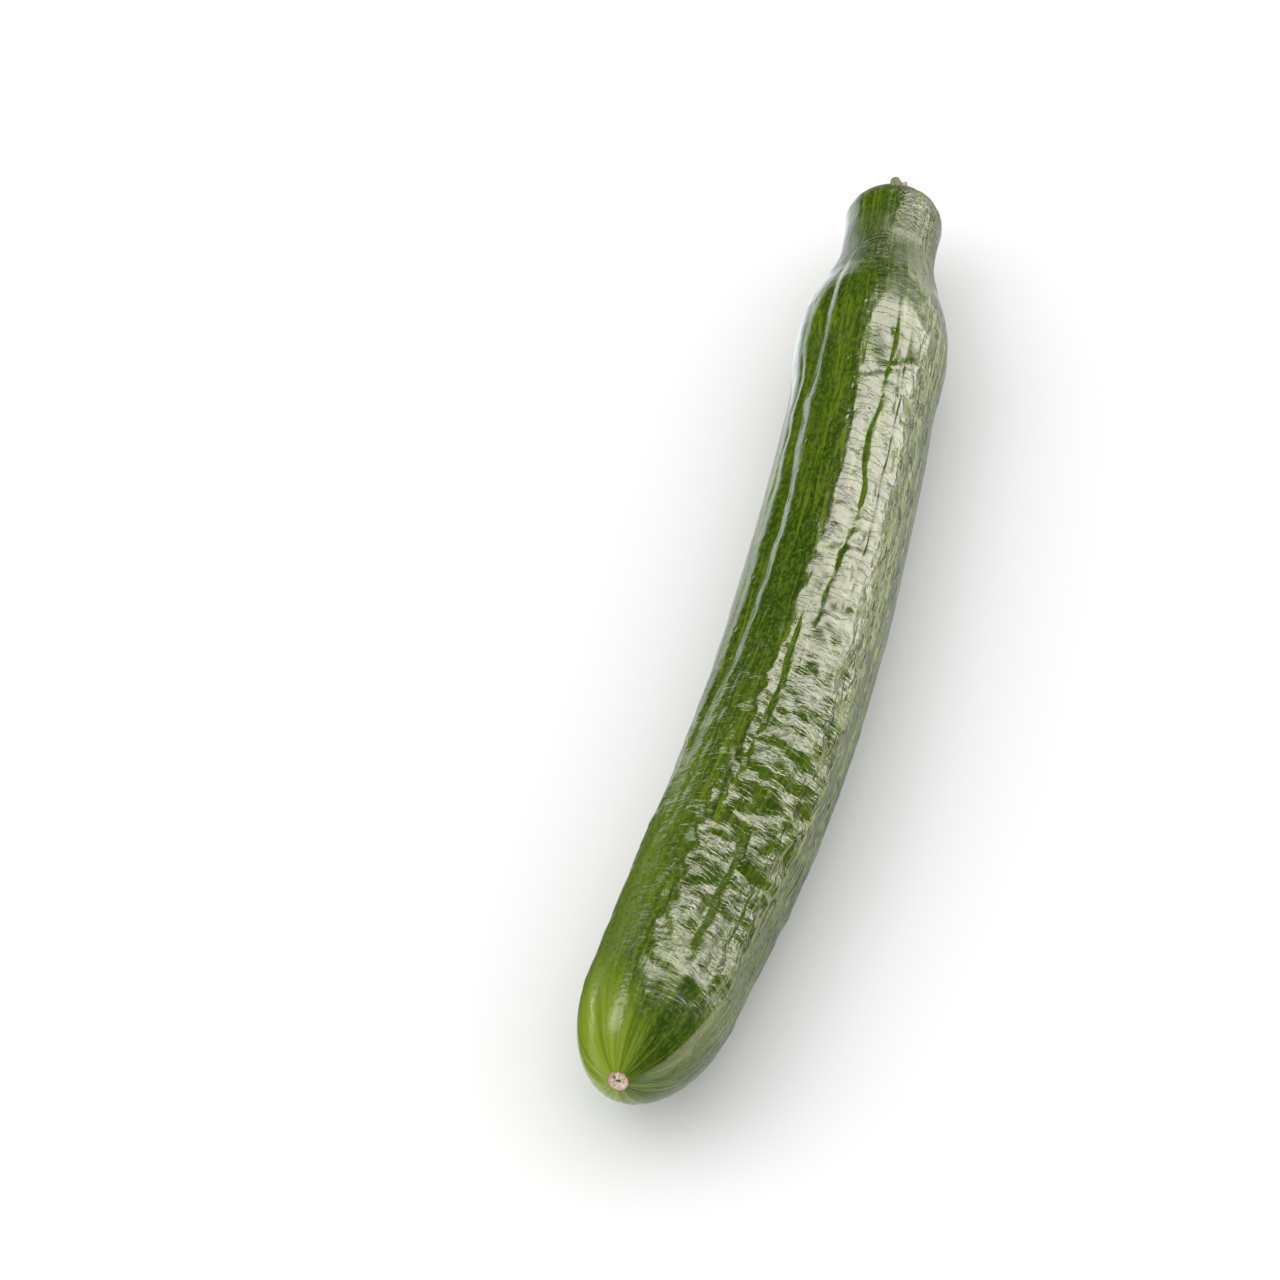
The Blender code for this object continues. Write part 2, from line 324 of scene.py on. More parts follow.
# ---- materials ------------------------------------------------------------------------------
class Nodes:
    """A short way to write a node tree."""

    def __init__(self, name):
        self.material = bpy.data.materials.new(name)
        self.material.use_nodes = True
        self.tree = self.material.node_tree
        self.shader = self.tree.nodes["Principled BSDF"]

    def put(self, socket, value):
        if isinstance(value, bpy.types.NodeSocket):
            self.tree.links.new(value, socket)
        else:
            socket.default_value = value

    def add(self, kind, inputs=(), output=0, **settings):
        node = self.tree.nodes.new("ShaderNode" + kind)
        for key, value in settings.items():
            setattr(node, key, value)
        for key, value in dict(inputs).items():
            self.put(node.inputs[key], value)
        return node.outputs[output]

    def set(self, **inputs):
        for key, value in inputs.items():
            self.put(self.shader.inputs[key.replace("_", " ")], value)

    def attribute(self, name, output=2):
        return self.add("Attribute", output=output, attribute_name=name)

    def noise(self, vector, scale, detail=2.0, rough=0.5, warp=0.0):
        return self.add("TexNoise", {"Vector": vector, "Scale": scale, "Detail": detail,
                                     "Roughness": rough, "Distortion": warp})

    def stretch(self, vector, scale, turn=(0, 0, 0)):
        return self.add("Mapping", {"Vector": vector, "Scale": scale, "Rotation": turn})

    def span(self, value, low, high, out_low=0.0, out_high=1.0, smooth_step=True):
        return self.add("MapRange", {"Value": value, 1: low, 2: high, 3: out_low, 4: out_high},
                        interpolation_type="SMOOTHSTEP" if smooth_step else "LINEAR")

    def maths(self, operation, a, b=0.0):
        return self.add("Math", {0: a, 1: b}, operation=operation)

    def times(self, first, *others):
        for other in others:
            first = self.maths("MULTIPLY", first, other)
        return first

    def plus(self, first, *others):
        for other in others:
            first = self.maths("ADD", first, other)
        return first

    def blend(self, share, a, b):
        return self.add("Mix", {0: share, 6: a, 7: b}, output=2, data_type="RGBA")

    def cells(self, vector, scale):
        """(distance, random value) of the nearest of many scattered points."""
        node = self.tree.nodes.new("ShaderNodeTexVoronoi")
        self.put(node.inputs["Vector"], vector)
        self.put(node.inputs["Scale"], scale)
        return node.outputs["Distance"], self.add("SeparateColor", {"Color": node.outputs["Color"]})

    def bump(self, height, distance, strength=1.0, normal=None):
        inputs = {"Height": height, "Distance": distance, "Strength": strength}
        if normal is not None:
            inputs["Normal"] = normal
        return self.add("Bump", inputs)


def opaque(colour):
    return (*colour, 1.0)


def rind_colour(n, look, grain, s, left, marks, speck):
    """Dark and light streaks, painted light on the left of the blossom half, yellower rays that
    spread from the scar, specks, and painted shade in dashes on the right flank.
    """
    broad = n.noise(n.stretch(grain, (9, 150, 150)), 1.0, 3.0, 0.55, 0.3)
    fine = n.noise(n.stretch(grain, (32, 560, 560)), 1.0, 3.0, 0.6, 0.8)
    mottle = n.noise(n.stretch(grain, (600, 1000, 1000)), 1.0, 3.0, 0.65)
    rays = n.noise(n.stretch(grain, (16, 360, 360)), 1.0, 2.0, 0.5, 0.5)
    light = n.times(n.span(fine, 0.50, 0.66), n.span(s, 0.006, 0.030, 0.15, 0.75))
    # Painted light: the left of the blossom half is painted a lighter green, as if more light fell
    # there.
    painted_light_left = n.times(n.span(left, 0.003, 0.015, 0.0, 0.65), n.span(s, 0.150, 0.050))
    # The yellower end fades along the fruit, further on its left.
    reach = n.plus(s, n.times(left, -0.90), n.times(rays, -0.016), n.times(mottle, -0.008))
    tip = n.span(reach, 0.008, -0.014, smooth_step=False)
    pale = n.times(n.span(rays, 0.52, 0.68), n.span(s, 0.016, 0.001))
    shade = n.times(n.span(rays, 0.50, 0.36), n.span(s, 0.026, 0.003))
    # Painted shade: short dark lengthwise dashes on the right flank only, standing in for breaks in
    # the sheen reflected there.
    flank_dash_shade = n.times(n.span(marks, 0.54, 0.62), n.span(left, -0.012, -0.018, 0.0, 0.9))
    layers = (
        (light, look.light_streak_and_painted_light_colour),
        # painted light on the left of the blossom half
        (painted_light_left, look.light_streak_and_painted_light_colour),
        (n.times(n.span(mottle, 0.46, 0.62), 0.50), look.light_streak_and_painted_light_colour),
        (n.times(n.span(mottle, 0.48, 0.32), 0.60), look.dark_streak_and_painted_shade_colour),
        (n.times(n.attribute("furrow"), 0.25), look.streak_colour),
        (n.times(tip, 0.9), look.tip_colour),
        (n.times(pale, 0.45), look.ray_colour),
        (n.times(shade, 0.35), look.dark_streak_and_painted_shade_colour),
        (speck, look.speck_colour),
        # painted shade in dashes on the right flank
        (flank_dash_shade, look.dark_streak_and_painted_shade_colour),
    )
    colour = n.blend(n.span(broad, 0.34, 0.66), opaque(look.dark_streak_and_painted_shade_colour), opaque(look.skin_colour))
    for share, tone in layers:
        colour = n.blend(share, colour, opaque(tone))
    return colour


def rind_roughness(n, look, grain, s):
    """Patchy, and duller at the neck, round the stalk and at the blossom end."""
    patchy = n.span(n.noise(grain, 320.0, 3.0), 0.3, 0.7, look.gloss, look.gloss + 0.10)
    neck = n.times(n.span(s, 0.298, 0.308, 0.0, 0.20), n.span(s, 0.333, 0.322))
    dull = n.plus(neck, n.span(s, 0.334, 0.340, 0.0, 0.26), n.span(s, 0.075, 0.045, 0.04, 0.07))
    return n.plus(patchy, dull)


def neck_folds(n, grain, s, left):
    """Fine folds across the top of the neck, spaced and bowed as those of its shape are."""
    bow = n.plus(n.times(left, FOLD_TURN), FOLD_MIDDLE / FOLD_REACH)
    wobble = n.times(n.noise(grain, 160.0, 2.0), 0.0020)
    wave = n.plus(s, n.times(n.times(bow, bow), FOLD_BOW), wobble)
    crest = n.maths("SINE", n.times(wave, math.tau / FOLD_SPACING))
    where = n.times(n.span(s, 0.300, 0.306), n.span(s, 0.321, 0.315), n.span(left, 0.012, 0.007),
                    n.span(left, -0.006, -0.001), n.span(n.noise(grain, 260.0, 1.0), 0.40, 0.55))
    return n.times(crest, where)


def rind_relief(n, look, grain, s, left, marks, speck):
    """Short creases across the ribs, waves, lengthwise wrinkles and marks, dimples, then grit."""
    grown = n.span(s, 0.022, 0.036)
    folds = n.noise(n.stretch(grain, (300, 90, 90), CREASE_SLANT), 1.0, 3.0, 0.55, 0.6)
    crease = n.maths("ABSOLUTE", n.maths("SUBTRACT", folds, 0.5))
    crease = n.span(crease, 0.0, 0.028, smooth_step=False)
    creased = n.times(n.span(left, 0.006, 0.000), n.times(grown, n.span(s, 0.20, 0.15, 0.8, 0.7)))
    relief = n.bump(crease, look.crease_depth, creased)

    # Waves, stronger in the blossom half and on the right of the bulb before the stalk.
    waves = n.noise(n.stretch(grain, (900, 260, 260), CREASE_SLANT), 1.0, 2.0, 0.5, 0.4)
    glint = n.times(n.span(s, 0.318, 0.324, 0.0, 6.0), n.span(s, 0.341, 0.336),
                    n.span(left, 0.001, -0.004))
    young = n.maths("MAXIMUM", grown, n.span(s, 0.003, 0.008, 0.0, 0.42))
    wrinkled = n.times(n.maths("MAXIMUM", n.span(s, 0.170, 0.120, 0.40, 2.8), glint), young)
    relief = n.bump(n.times(waves, wrinkled), look.wave_depth, 1.0, relief)

    braid = n.noise(n.stretch(grain, (150, 620, 620), (0, 0, 0.25)), 1.0, 2.0, 0.5, 0.8)
    flank = n.times(n.span(left, -0.013, -0.018, 0.5, 2.2), n.span(s, 0.012, 0.030))
    relief = n.bump(n.times(braid, flank), look.braid_depth, 1.0, relief)
    dashes = n.times(n.span(marks, 0.55, 0.64), n.span(left, -0.013, -0.018))
    relief = n.bump(dashes, -look.dash_depth, n.span(s, 0.02, 0.04), relief)
    distance, pick = n.cells(n.stretch(grain, (150, 260, 260)), 1.0)
    dimple = n.times(n.span(distance, 0.22, 0.05), n.span(pick, 0.62, 0.66))
    relief = n.bump(dimple, -look.dimple_depth, grown, relief)
    relief = n.bump(neck_folds(n, grain, s, left), FOLD_BUMP, 1.0, relief)
    relief = n.bump(n.noise(grain, 1500.0, 2.0, 0.6), look.grit_depth, 1.0, relief)
    return n.bump(speck, SPECK_HEIGHT, 1.0, relief)


def skin_material(look):
    """Waxy rind. s is in metres from the blossom tip, and left is above zero on the left."""
    n = Nodes("cucumber_skin")
    grain = n.attribute("grain", 1)
    parts = n.tree.nodes.new("ShaderNodeSeparateXYZ")
    n.put(parts.inputs["Vector"], grain)
    s, left = parts.outputs["X"], parts.outputs["Y"]
    marks = n.noise(n.stretch(grain, (150, 1000, 1000), (0, 0, 0.12)), 1.0, 2.0, 0.5, 0.3)
    distance, pick = n.cells(grain, 120.0)
    speck = n.times(n.span(distance, 0.035, 0.018), n.span(pick, 0.78, 0.80))
    n.set(Base_Color=rind_colour(n, look, grain, s, left, marks, speck),
          Roughness=rind_roughness(n, look, grain, s), IOR=1.47,
          Specular_Tint=(1.0, 0.95, 0.88, 1.0),
          Normal=rind_relief(n, look, grain, s, left, marks, speck))
    return n.material


def scar_material(look):
    """Dry cork, pale in the middle with dark pits and an orange-tan rim."""
    n = Nodes("blossom_scar_cork")
    where = n.attribute("across")
    coords = n.add("TexCoord", output=3)
    pits = n.noise(coords, 1700.0, 3.0, 0.7, 0.5)
    colour = n.blend(n.span(pits, 0.42, 0.60), opaque(look.cork_shade), opaque(look.cork_colour))
    ragged = n.maths("ADD", where, n.span(pits, 0.3, 0.7, -0.12, 0.12))
    colour = n.blend(n.span(ragged, 0.84, 0.98), colour, opaque(look.rim_colour))
    colour = n.blend(n.attribute("pit"), colour, opaque(look.pit_colour))
    grain = n.bump(n.noise(coords, 2600.0, 3.0, 0.7), 0.00012)
    n.set(Base_Color=colour, Roughness=0.85, Normal=grain)
    return n.material


def stalk_material(look):
    """Fibrous green stalk with a pale slanting cut that dries to brown."""
    n = Nodes("stalk_fibre")
    coords = n.add("TexCoord", output=3)
    along_it = n.attribute("grain", 1)
    fibres = n.noise(n.stretch(along_it, (120, 1500, 1500)), 1.0, 3.0, 0.6)
    share = n.span(fibres, 0.35, 0.65)
    colour = n.blend(share, opaque(look.stalk_shade), opaque(look.stalk_colour))
    cut = n.noise(coords, 1400.0, 3.0, 0.65)
    face = n.blend(n.span(cut, 0.40, 0.62), opaque(look.dry_colour), opaque(look.cut_colour))
    colour = n.blend(n.attribute("cut"), colour, face)
    colour = n.blend(n.attribute("dried"), colour, opaque(look.knob_colour))
    relief = n.bump(cut, 0.00015, 1.0, n.bump(fibres, 0.00015))
    n.set(Base_Color=colour, Roughness=0.62, Normal=relief)
    return n.material


def floor_material(look):
    """Matt paper, with the faintest fibre."""
    n = Nodes("studio_paper")
    coords = n.add("TexCoord", output=3)
    tone = n.noise(coords, 35.0, 3.0)
    colour = n.blend(n.times(tone, 0.03), opaque(look.floor_colour), (0.7, 0.7, 0.7, 1))
    n.set(Base_Color=colour, Roughness=0.9, Specular_IOR_Level=0.1)
    return n.material


def card_material():
    """Dark green felt."""
    n = Nodes("dark_felt")
    fibres = n.noise(n.add("TexCoord", output=3), 90.0, 2.0)
    colour = n.blend(fibres, (0.02, 0.03, 0.008, 1.0), (0.06, 0.09, 0.02, 1.0))
    n.set(Base_Color=colour, Roughness=0.9)
    return n.material


# ---- fruit ----------------------------------------------------------------------------------
def furrow_angle(rib, s):
    """Where the furrow before this rib runs, at s: each wanders a little by itself."""
    slow = 0.17 * noise.noise(Vector((s / 0.045, rib * 7.3, 1.7)))
    quick = 0.20 * noise.noise(Vector((s / 0.013, rib * 3.1, 9.2)))
    angle = FIRST_FURROW + math.tau * (rib + slow + quick) / RIBS
    if rib in OWN_PATHS:
        angle += math.radians(along(OWN_PATHS[rib], s / LENGTH))
    return angle + along(RIB_SPREAD, s / LENGTH) * math.sin(2 * (angle - TOP - math.radians(10)))


def furrow_depth(rib, s):
    strength = 0.60 + 0.80 * noise.noise(Vector((s / 0.038, rib * 5.7, 4.4)))
    strength = max(strength + 0.55 * noise.noise(Vector((s / 0.008, rib * 2.9, 6.1))), 0.1)
    if rib in OWN_FURROWS:
        strength = (0.75 + 0.4 * strength) * along(OWN_FURROWS[rib], s / LENGTH)
    return max(strength, 0.0)


def ripple(at, long, wide, shift=(0, 0, 0)):
    """Noise whose bumps are about long along the fruit and wide round it."""
    return noise.noise(Vector((at.x / long, at.y / wide, at.z / wide)) + Vector(shift))


def relief(look, s, r, angle, share, depths, widths):
    """How far the rind stands out from the smooth form, in metres."""
    t = s / LENGTH
    girth = min(r / GIRTH_RADIUS, 1.0)
    near = math.exp(-((share / widths[0]) ** 2)) * depths[0]
    near += math.exp(-(((1 - share) / widths[1]) ** 2)) * depths[1]
    height = -look.furrow_depth * along(FURROW_ALONG, t) * near * girth

    at = Vector((s, math.cos(angle) * r, math.sin(angle) * r))
    turned = (math.degrees(angle - TOP) + 180) % 360 - 180
    lumps = ripple(at, 0.0046, 0.0040) + 0.45 * ripple(at, 0.0022, 0.0032, (7, 3, 1))
    lumps += 0.9 * noise.noise(at / 0.0085 + Vector((3, 5, 2)))
    lumps *= 0.30 + 0.70 * smooth(-32, -12, turned) * (1 - smooth(58, 74, turned))
    height += look.lump_height * along(LUMPS_ALONG, t) * lumps
    height += 0.00030 * girth * noise.noise(at / 0.034)
    height += 0.00011 * girth * ripple(at, 0.0060, 0.0019, (1, 8, 4))

    for side, width, heights in CORNERS:
        height += MM * along(heights, t) * math.exp(-(((turned - side) / width) ** 2))
    for share_s, side, long, wide, deep in DENTS:
        ds, da = (t - share_s) * LENGTH / MM, math.radians(turned - side) * r / MM
        ds -= DENT_SLANT * da
        height -= MM * deep * math.exp(-((ds / long) ** 2) - (da / wide) ** 2)

    # Fine folds across the top of the neck.
    folds = smooth(0.862, 0.880, t) * (1 - smooth(0.905, 0.925, t))
    if folds > 0:
        side = smooth(-24, -14, turned) * (1 - smooth(6, 14, turned))
        wave = s + FOLD_BOW * ((turned + FOLD_MIDDLE) / FOLD_REACH) ** 2
        wave += 0.0009 * noise.noise(at / 0.007)
        strength = 0.7 + 0.7 * noise.noise(Vector((s / 0.003, at.y / 0.005, 3.0)))
        crest = math.sin(math.tau * wave / FOLD_SPACING)
        height += look.fold_height * folds * side * strength * crest
    return height


def make_fruit(look):
    rings = fruit_profile(*FINE_RINGS)
    columns = RIBS * len(RIB_COLUMNS)
    bm = spun_tube(len(rings), columns)
    grain = bm.verts.layers.float_vector.new("grain")
    furrow = bm.verts.layers.float.new("furrow")
    offset = frame_offset()
    frames = [frame_at(s) for s, r in rings]
    angles = [[furrow_angle(rib, s) for rib in range(RIBS)] for s, r in rings]
    depths = [[furrow_depth(rib, s) for rib in range(RIBS)] for s, r in rings]
    even = (FURROW_WIDTH, FURROW_WIDTH)
    for vert in bm.verts:
        j, k = ring_and_column(vert, columns)
        s, r = rings[j]
        rib, share = k // len(RIB_COLUMNS), RIB_COLUMNS[k % len(RIB_COLUMNS)]
        after = (rib + 1) % RIBS
        start, end = angles[j][rib], angles[j][after] + (math.tau if after == 0 else 0)
        angle = (start + (end - start) * share) % math.tau
        middle, forward, sideways, upwards = frames[j]
        pair = depths[j][rib], depths[j][after]
        widths = FURROW_WIDTHS.get(rib, even)[1], FURROW_WIDTHS.get(after, even)[0]
        height = relief(look, s, r, angle, share, pair, widths)
        height *= smooth(SCAR_RADIUS * 0.8, SCAR_RADIUS * 2, r)
        out = sideways * math.cos(angle) + upwards * math.sin(angle)
        bulge = out if j == 0 or j == len(rings) - 1 else outward(rings, j, out, forward)
        vert.co = middle + out * r + bulge * height + offset
        vert.co.z = max(vert.co.z, 0.0)
        vert[grain] = (s, GIRTH_RADIUS * math.cos(angle), GIRTH_RADIUS * math.sin(angle))
        vert[furrow] = (math.exp(-((share / FURROW_LINE) ** 2)) * pair[0]
                        + math.exp(-(((1 - share) / FURROW_LINE) ** 2)) * pair[1])
    piece = finish_piece(bm, "cucumber_fruit", skin_material(look))
    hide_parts("fruit")
    return piece


def outward(rings, j, out, forward):
    """The rind's outward direction, which leans along the fruit where its radius changes."""
    ds, dr = rings[j + 1][0] - rings[j - 1][0], rings[j + 1][1] - rings[j - 1][1]
    return (out * ds - forward * dr).normalized()


# ---- blossom scar ---------------------------------------------------------------------------
def make_scar(look):
    """A ragged corky button that fills the dimple at the blossom tip."""
    rings, columns = SCAR_FACE_RINGS + SCAR_SKIRT_RINGS + SCAR_UNDER_RINGS, 96
    skirt_end = SCAR_FACE_RINGS + SCAR_SKIRT_RINGS
    bm = spun_tube(rings, columns)
    across = bm.verts.layers.float.new("across")
    pit = bm.verts.layers.float.new("pit")
    middle, forward, sideways, upwards = frame_at(0.0)
    tip = middle + forward * blossom_s(SCAR_RADIUS) + frame_offset()
    for vert in bm.verts:
        j, k = ring_and_column(vert, columns)
        angle = math.tau * k / columns
        spread = min(j / SCAR_FACE_RINGS, 1.0)
        ragged = noise.noise(Vector((math.cos(angle), math.sin(angle), 0)) * 3.1)
        reach = SCAR_RADIUS * spread * (1.02 + 0.07 * ragged)
        x, y = reach * math.cos(angle), reach * math.sin(angle)
        rough = noise.fractal(Vector((x, y, 0)) / 0.0011, 1.0, 2.0, 3)
        lip = math.exp(-(((spread - 0.90) / 0.10) ** 2))
        hole = max(strength * math.exp(-(((x - px) / wide) ** 2 + ((y - py) / high) ** 2))
                   for px, py, wide, high, strength in SCAR_PITS)
        height = 0.00008 + 0.00018 * lip + 0.00014 * rough - 0.0004 * hole - 0.0001 * (1 - spread)
        if j > SCAR_FACE_RINGS:  # the skirt that goes down into the fruit, then the underside
            height -= 0.0007 * min((j - SCAR_FACE_RINGS) / SCAR_SKIRT_RINGS, 1.0)
            reach *= 1.0 if j <= skirt_end else (rings - 1 - j) / 2.5
            x, y = reach * math.cos(angle), reach * math.sin(angle)
        vert.co = tip + sideways * x + upwards * y - forward * height
        vert[across] = spread
        vert[pit] = min(hole * 1.1, 1.0)
    return finish_piece(bm, "blossom_scar", scar_material(look))


# ---- stalk ----------------------------------------------------------------------------------
def make_stalk(look):
    """The ribbed stub of the stalk, flared at its foot, with a slanting cut."""
    side_rings, face_rings, columns = 34, 12, 90
    bm = spun_tube(side_rings + face_rings + 2, columns)
    grain = bm.verts.layers.float_vector.new("grain")
    cut = bm.verts.layers.float.new("cut")
    dried = bm.verts.layers.float.new("dried")
    middle, forward, sideways, upwards = frame_at(LENGTH - SEAT_DEPTH)
    base = middle + forward * CLEARANCE + sideways * STALK_SHIFT + frame_offset()
    lean = math.tan(STEM_TILT)
    for vert in bm.verts:
        j, k = ring_and_column(vert, columns)
        angle = math.tau * k / columns
        t = min(max((j - 1) / side_rings, 0.0), 1.0)
        inner = max(j - 1 - side_rings, 0) / face_rings
        size = STEM_RADIUS + (STEM_FOOT - STEM_RADIUS) * (1 - t) ** 2
        size *= 0.4 + 0.6 * (math.cos(angle) ** 4 + math.sin(angle) ** 4) ** -0.25
        ribs = STALK_RIB_HEIGHT * (math.cos(STALK_RIBS * angle) - 1) / 2 * (1 - 0.4 * (1 - t) ** 2)
        knots = 0.00016 * noise.noise(Vector((t * 3, math.cos(angle) * 1.6, math.sin(angle) * 1.6)))
        fibre = 0.00005 * noise.noise(Vector((t * 2, math.cos(angle) * 9, math.sin(angle) * 9)))
        reach = size + ribs + knots + fibre
        if t == 1.0:  # the cut's edge is worn
            reach -= 0.00012
        reach *= 0.0 if j == 0 else 1 - inner
        right = max(0.10 - math.cos(angle) * (1 - inner), 0.0) / 1.10
        slant = -(0.0002 + 0.0018 * max(math.sin(angle), 0.0) * (1 - inner) + 0.0045 * right) * t
        x, y = reach * math.cos(angle), reach * math.sin(angle)
        dish = 0.0
        if inner > 0:
            dish = 0.00025 * noise.noise(Vector((x, y, 0)) / 0.0007)
            dish -= 0.0005 * smooth(0.0, 0.5, inner)
        knob = math.exp(-(((x - KNOB_PLACE[0]) / KNOB_SIZE[0]) ** 2
                          + ((y - KNOB_PLACE[1]) / KNOB_SIZE[1]) ** 2)) * smooth(0.6, 1.0, t)
        s = STEM_LENGTH * t
        vert.co = (base + forward * (s + slant + dish + 0.0021 * knob)
                   + upwards * (s * lean + y + 0.0004 * knob) + sideways * x)
        vert[grain] = (s, STALK_GRAIN * math.cos(angle), STALK_GRAIN * math.sin(angle))
        vert[cut] = max(smooth(0.95, 1.0, t), smooth(0.84, 0.95, t) * smooth(0.1, 0.4, right))
        vert[dried] = min(knob * 1.5, 1.0)
    piece = finish_piece(bm, "cucumber_stalk", stalk_material(look))
    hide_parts("stem")
    return piece


# ---- stage ----------------------------------------------------------------------------------
def softbox(name, middle, back, edge, width, height, radiance, tint=(1, 1, 1), seen="GLOSSY"):
    """A rectangular light facing away from back, whose width runs along edge."""
    data = bpy.data.lights.new(name, "AREA")
    data.shape = "RECTANGLE"
    data.size, data.size_y = width, height
    data.energy = radiance * math.pi * width * height
    data.color = tint
    light = bpy.data.objects.new(name, data)
    z_axis = Vector(back).normalized()
    x_axis = Vector(edge).normalized()
    y_axis = z_axis.cross(x_axis).normalized()
    x_axis = y_axis.cross(z_axis)
    turned = Matrix((x_axis, y_axis, z_axis)).transposed().to_4x4()
    light.matrix_world = Matrix.Translation(middle) @ turned
    light.visible_camera = False
    light.visible_diffuse = seen == "DIFFUSE"
    light.visible_glossy = seen == "GLOSSY"
    bpy.context.scene.collection.objects.link(light)


def make_lights(look):
    """The softboxes that the rind reflects, then the broad light that shapes its colour."""
    down = (0, 0, -1)
    softbox("key_softbox", (1.252, -0.608, 0.859), KEY_SLOPE, (1, 0, 0), 0.995, 2.00, look.key,
            KEY_TINT)
    softbox("far_panel", (3.45, -0.70, 0.78), KEY_SLOPE, (1, 0, 0), 3.40, 1.85, look.far, KEY_TINT)
    softbox("side_softbox", (0.17, 0.81, 0.90), (0.27, 0.68, 0.68), (1, -0.3, 0), 0.55, 0.64,
            look.side)
    softbox("low_strip", (-0.055, 0.29, 0.004), down, (0.1, 1, 0), 0.30, 0.035, look.strip,
            KEY_TINT)
    softbox("left_bounce", (0.25, 0.20, 0.002), down, (1, 1, 0), 0.44, 0.18, look.bounce,
            (0.92, 0.95, 1.2))
    softbox("right_bounce", (0.35, -0.45, 0.002), down, (1, 0, 0), 1.3, 0.78, look.warm,
            (1.0, 0.89, 0.58))
    softbox("diffuser", (-0.6, 1.3, 1.5), (-0.6, 1.3, 1.5), (1, 0.4, 0), 1.6, 1.6, look.soft,
            seen="DIFFUSE")


def make_stage(look):
    bm = bmesh.new()
    bmesh.ops.create_circle(bm, cap_ends=True, segments=96, radius=FLOOR_RADIUS)
    floor = as_object(bm, "studio_floor", floor_material(look))
    make_lights(look)

    # A dark card beside the blossom half, which shows in reflections only.
    bm = bmesh.new()
    bmesh.ops.create_grid(bm, x_segments=1, y_segments=1, size=0.5)
    for vert in bm.verts:
        vert.co = CARD_CORNERS[vert.co.y > 0][vert.co.x > 0]
    card = as_object(bm, "dark_card", card_material())
    card.visible_camera = card.visible_diffuse = card.visible_shadow = False

    world = bpy.data.worlds.new("studio")
    bpy.context.scene.world = world
    world.use_nodes = True
    background = world.node_tree.nodes["Background"].inputs
    background["Color"].default_value = (1.0, 1.0, 1.0, 1.0)
    background["Strength"].default_value = look.fill
    world.cycles_visibility.glossy = False
    bpy.context.scene.view_settings.view_transform = "Standard"

    data = bpy.data.cameras.new("camera")
    data.angle = LENS_ANGLE
    data.clip_start = 0.05
    camera = bpy.data.objects.new("camera", data)
    camera.location = CAMERA_PLACE
    camera.rotation_euler = CAMERA_TURN
    bpy.context.scene.collection.objects.link(camera)
    bpy.context.scene.camera = camera


# ---- settings -------------------------------------------------------------------------------
def colour(name, description, default):
    return FloatVectorProperty(name=name, description=description, default=default, size=3,
                               subtype="COLOR", min=0.0, max=1.0)


def depth(name, description, default):
    return FloatProperty(name=name, description=description, default=default, unit="LENGTH",
                         precision=5, min=0.0)


def brightness(name, description, default):
    return FloatProperty(name=name, description=description, default=default, min=0.0)


class FruitSettings(bpy.types.PropertyGroup):
    """The rind's relief and colours."""

    furrow_depth: depth("Furrow depth", "Depth of the furrows between the ribs", 0.00048)
    lump_height: depth("Lump height", "Height of the rind's lumps", 0.00064)
    fold_height: depth("Fold height", "Height of the fine folds across the neck", 0.00034)
    crease_depth: depth("Crease depth", "Depth of the fine creases", 0.00004)
    wave_depth: depth("Wave depth", "Depth of the fine waves between the creases", 0.00010)
    braid_depth: depth("Braid depth", "Depth of the fine lengthwise wrinkles", 0.00012)
    dash_depth: depth("Dash depth", "Depth of the short lengthwise marks on the flank", 0.00050)
    dimple_depth: depth("Dimple depth", "Depth of the small oval dimples", 0.00010)
    grit_depth: depth("Grit depth", "Depth of the finest unevenness", 0.000006)
    gloss: FloatProperty(name="Gloss", description="Lowest roughness of the rind", default=0.10,
                         min=0.0, max=1.0, subtype="FACTOR")
    skin_colour: colour("Skin", "Middle green of the rind", (0.047, 0.088, 0.0034))
    # Also painted as shade in dashes on the right flank.
    dark_streak_and_painted_shade_colour: colour("Dark streaks", "Darkest green of the rind", (0.022, 0.050, 0.0018))
    # Also painted as light on the left of the blossom half.
    light_streak_and_painted_light_colour: colour("Light streaks", "Lightest green of the rind", (0.120, 0.180, 0.010))
    streak_colour: colour("Furrow lines", "Green along the furrows", (0.075, 0.130, 0.007))
    tip_colour: colour("Blossom end", "Yellow-green at the blossom end", (0.190, 0.270, 0.011))
    ray_colour: colour("Rays", "Pale rays round the blossom scar", (0.25, 0.34, 0.05))
    speck_colour: colour("Specks", "Pale specks on the rind", (0.45, 0.50, 0.22))


class TrimSettings(bpy.types.PropertyGroup):
    """Colours of the scar and the stalk."""

    cork_colour: colour("Cork", "Pale cork of the scar", (0.68, 0.61, 0.52))
    cork_shade: colour("Cork shade", "Darker cork between the pale parts", (0.40, 0.29, 0.20))
    rim_colour: colour("Scar rim", "Tan rim of the scar", (0.26, 0.15, 0.045))
    pit_colour: colour("Pits", "Dark pits in the scar", (0.05, 0.025, 0.015))
    stalk_colour: colour("Stalk", "Olive green of the stalk", (0.21, 0.26, 0.03))
    stalk_shade: colour("Stalk shade", "Darker fibres of the stalk", (0.08, 0.11, 0.015))
    cut_colour: colour("Cut face", "Pale fibres of the cut", (0.55, 0.47, 0.27))
    dry_colour: colour("Dry cut", "Dried parts of the cut", (0.28, 0.20, 0.09))
    knob_colour: colour("Dried knob", "Red-brown dried edge of the cut", (0.16, 0.03, 0.02))


